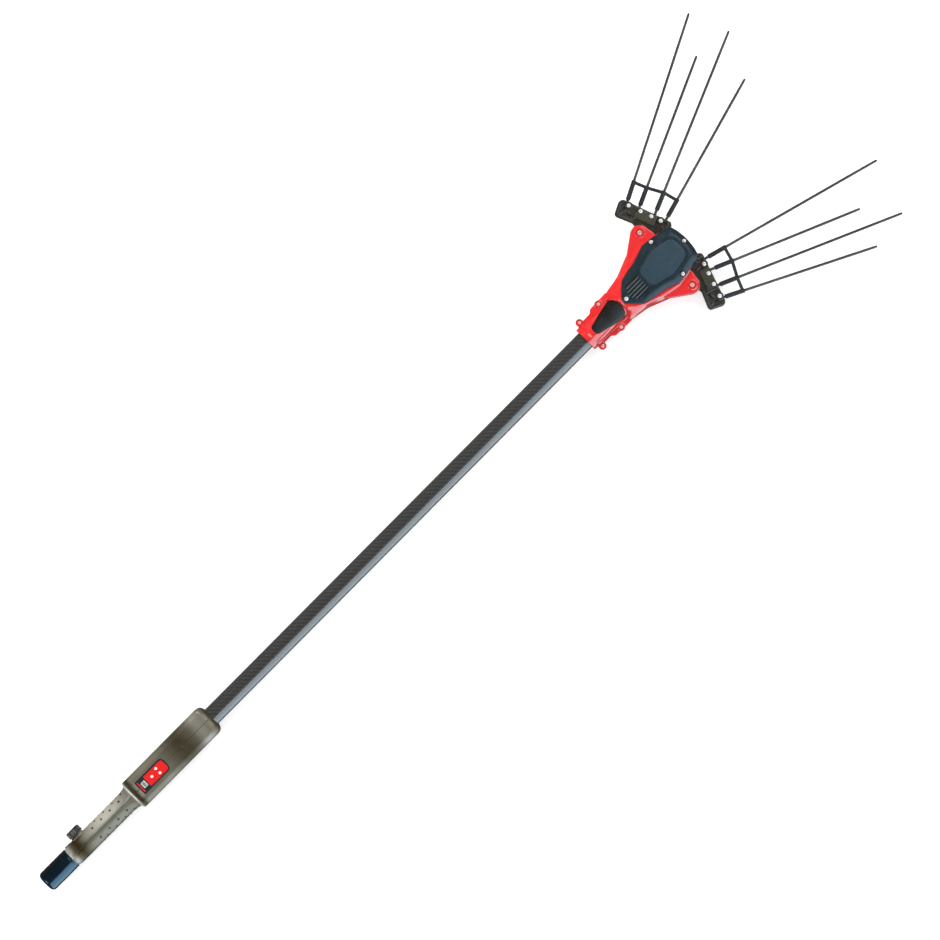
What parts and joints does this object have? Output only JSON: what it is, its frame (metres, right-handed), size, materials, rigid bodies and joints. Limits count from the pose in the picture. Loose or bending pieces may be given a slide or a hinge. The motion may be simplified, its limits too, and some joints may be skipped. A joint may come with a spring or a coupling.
{
  "type": "twin-comb fruit and olive harvester",
  "caption": "Electric picking tool: a carbon pole with a keypad handle and a gearbox head that swings two combs of thin tines.",
  "frame": {"origin": "on the pole's axis, in the flat end face of the butt cap", "axes": "+X along the pole from the butt to the combs, +Z out of the keypad and head cover, +Y to the side of the power inlet"},
  "size_m": [1.9725, 0.5379, 0.0878],
  "materials": {
    "carbon": "satin, woven carbon under clear resin",
    "butt_plastic": "glossy navy black",
    "black_plastic": "fine moulded grain",
    "handle_plastic": "gunmetal lacquer with a metallic flake",
    "steel": "zinc plated",
    "label_red": "printed polyester film",
    "lens": "smoked clear window",
    "display_grey": "display module",
    "board_green": "solder mask",
    "brass": "machined",
    "lead_rubber": "cable jacket",
    "shell_red": "glossy moulded red",
    "cover_slate": "satin slate blue",
    "pad_rubber": "soft touch",
    "aluminium": "machined",
    "copper_windings": "varnished windings and laminations",
    "magnet": "nickel plated magnet",
    "comb_black": "glass filled nylon, textured",
    "bridge_rubber": "moulded rubber",
    "button_white": "silicone key"
  },
  "bodies": {
    "tool": {"pole_tube": "carbon", "butt_cap": "butt_plastic", "cap_clip": "black_plastic", "handle_shell_left": "handle_plastic", "handle_shell_right": "handle_plastic", "handle_screws": "steel", "keypad_frame": "black_plastic", "keypad_label": "label_red", "display_lens": "lens", "display_module": "display_grey", "control_board": "board_green", "switches": "steel", "inlet_socket": "black_plastic", "inlet_contacts": "brass", "supply_lead": "lead_rubber", "motor_lead": "lead_rubber", "head_shell_upper": "shell_red", "head_shell_lower": "shell_red", "head_screws": "steel", "head_cover": "cover_slate", "cover_bolts": "steel", "neck_pad": "pad_rubber", "base_plate": "black_plastic", "base_screws": "steel", "pivot_pins": "steel", "motor_can": "aluminium", "motor_stator": "copper_windings", "motor_mount": "aluminium", "crank_bearings": "steel", "bearing_bridge": "aluminium", "guide_rods": "steel"},
    "motor_rotor": {"motor_shaft": "steel", "rotor_magnet": "magnet", "drive_pinion": "steel"},
    "crank": {"crank_shaft": "steel", "crown_gear": "brass", "crank_roller": "steel"},
    "yoke": {"yoke": "aluminium", "yoke_pins": "steel"},
    "left_comb": {"left_arm": "comb_black", "left_bush": "brass", "left_clamp": "comb_black", "left_bolts": "steel", "left_long_tines": "carbon", "left_short_tines": "carbon", "left_tine_bridge": "bridge_rubber"},
    "right_comb": {"right_arm": "comb_black", "right_bush": "brass", "right_clamp": "comb_black", "right_bolts": "steel", "right_long_tines": "carbon", "right_short_tines": "carbon", "right_tine_bridge": "bridge_rubber"},
    "power_button": {"button_power": "button_white"},
    "plus_button": {"button_plus": "button_white"},
    "minus_button": {"button_minus": "button_white"},
    "inlet_cap": {"inlet_cap": "black_plastic", "cap_seal": "pad_rubber"}
  },
  "joints": [
    {"name": "crank_spin", "type": "hinge", "parent": "tool", "child": "crank", "pos_m": [1.556, 0, 0], "axis": [0, 0, 1], "continuous": true},
    {"name": "motor_spin", "type": "hinge", "parent": "tool", "child": "motor_rotor", "pos_m": [1.45, 0, 0], "axis": [1, 0, 0], "continuous": true},
    {"name": "left_comb_swing", "type": "hinge", "parent": "tool", "child": "left_comb", "pos_m": [1.583, 0.0666, 0], "axis": [0, 0, 1], "range_deg": [-7.6, 7.6]},
    {"name": "right_comb_swing", "type": "hinge", "parent": "tool", "child": "right_comb", "pos_m": [1.583, -0.0666, 0], "axis": [0, 0, 1], "range_deg": [-7.6, 7.6]},
    {"name": "yoke_slide", "type": "slide", "parent": "tool", "child": "yoke", "axis": [1, 0, 0], "range_m": [-0.004, 0.004]},
    {"name": "power_press", "type": "slide", "parent": "tool", "child": "power_button", "axis": [0, 0, -1], "range_m": [0, 0.0008], "stiffness_N_per_m": 600, "springref_m": -0.0005},
    {"name": "plus_press", "type": "slide", "parent": "tool", "child": "plus_button", "axis": [0, 0, -1], "range_m": [0, 0.0008], "stiffness_N_per_m": 600, "springref_m": -0.0005},
    {"name": "minus_press", "type": "slide", "parent": "tool", "child": "minus_button", "axis": [0, 0, -1], "range_m": [0, 0.0008], "stiffness_N_per_m": 600, "springref_m": -0.0005},
    {"name": "inlet_cap_turn", "type": "hinge", "parent": "tool", "child": "inlet_cap", "pos_m": [0.101, 0.03, 0], "axis": [0, 1, 0], "range_deg": [0, 540]}
  ],
  "couplings": [
    {"joint": "motor_spin", "follows": "crank_spin", "ratio": -3},
    {"joint": "right_comb_swing", "follows": "left_comb_swing", "ratio": -1},
    {"joint": "yoke_slide", "follows": "left_comb_swing", "m_per_rad": 0.03}
  ]
}
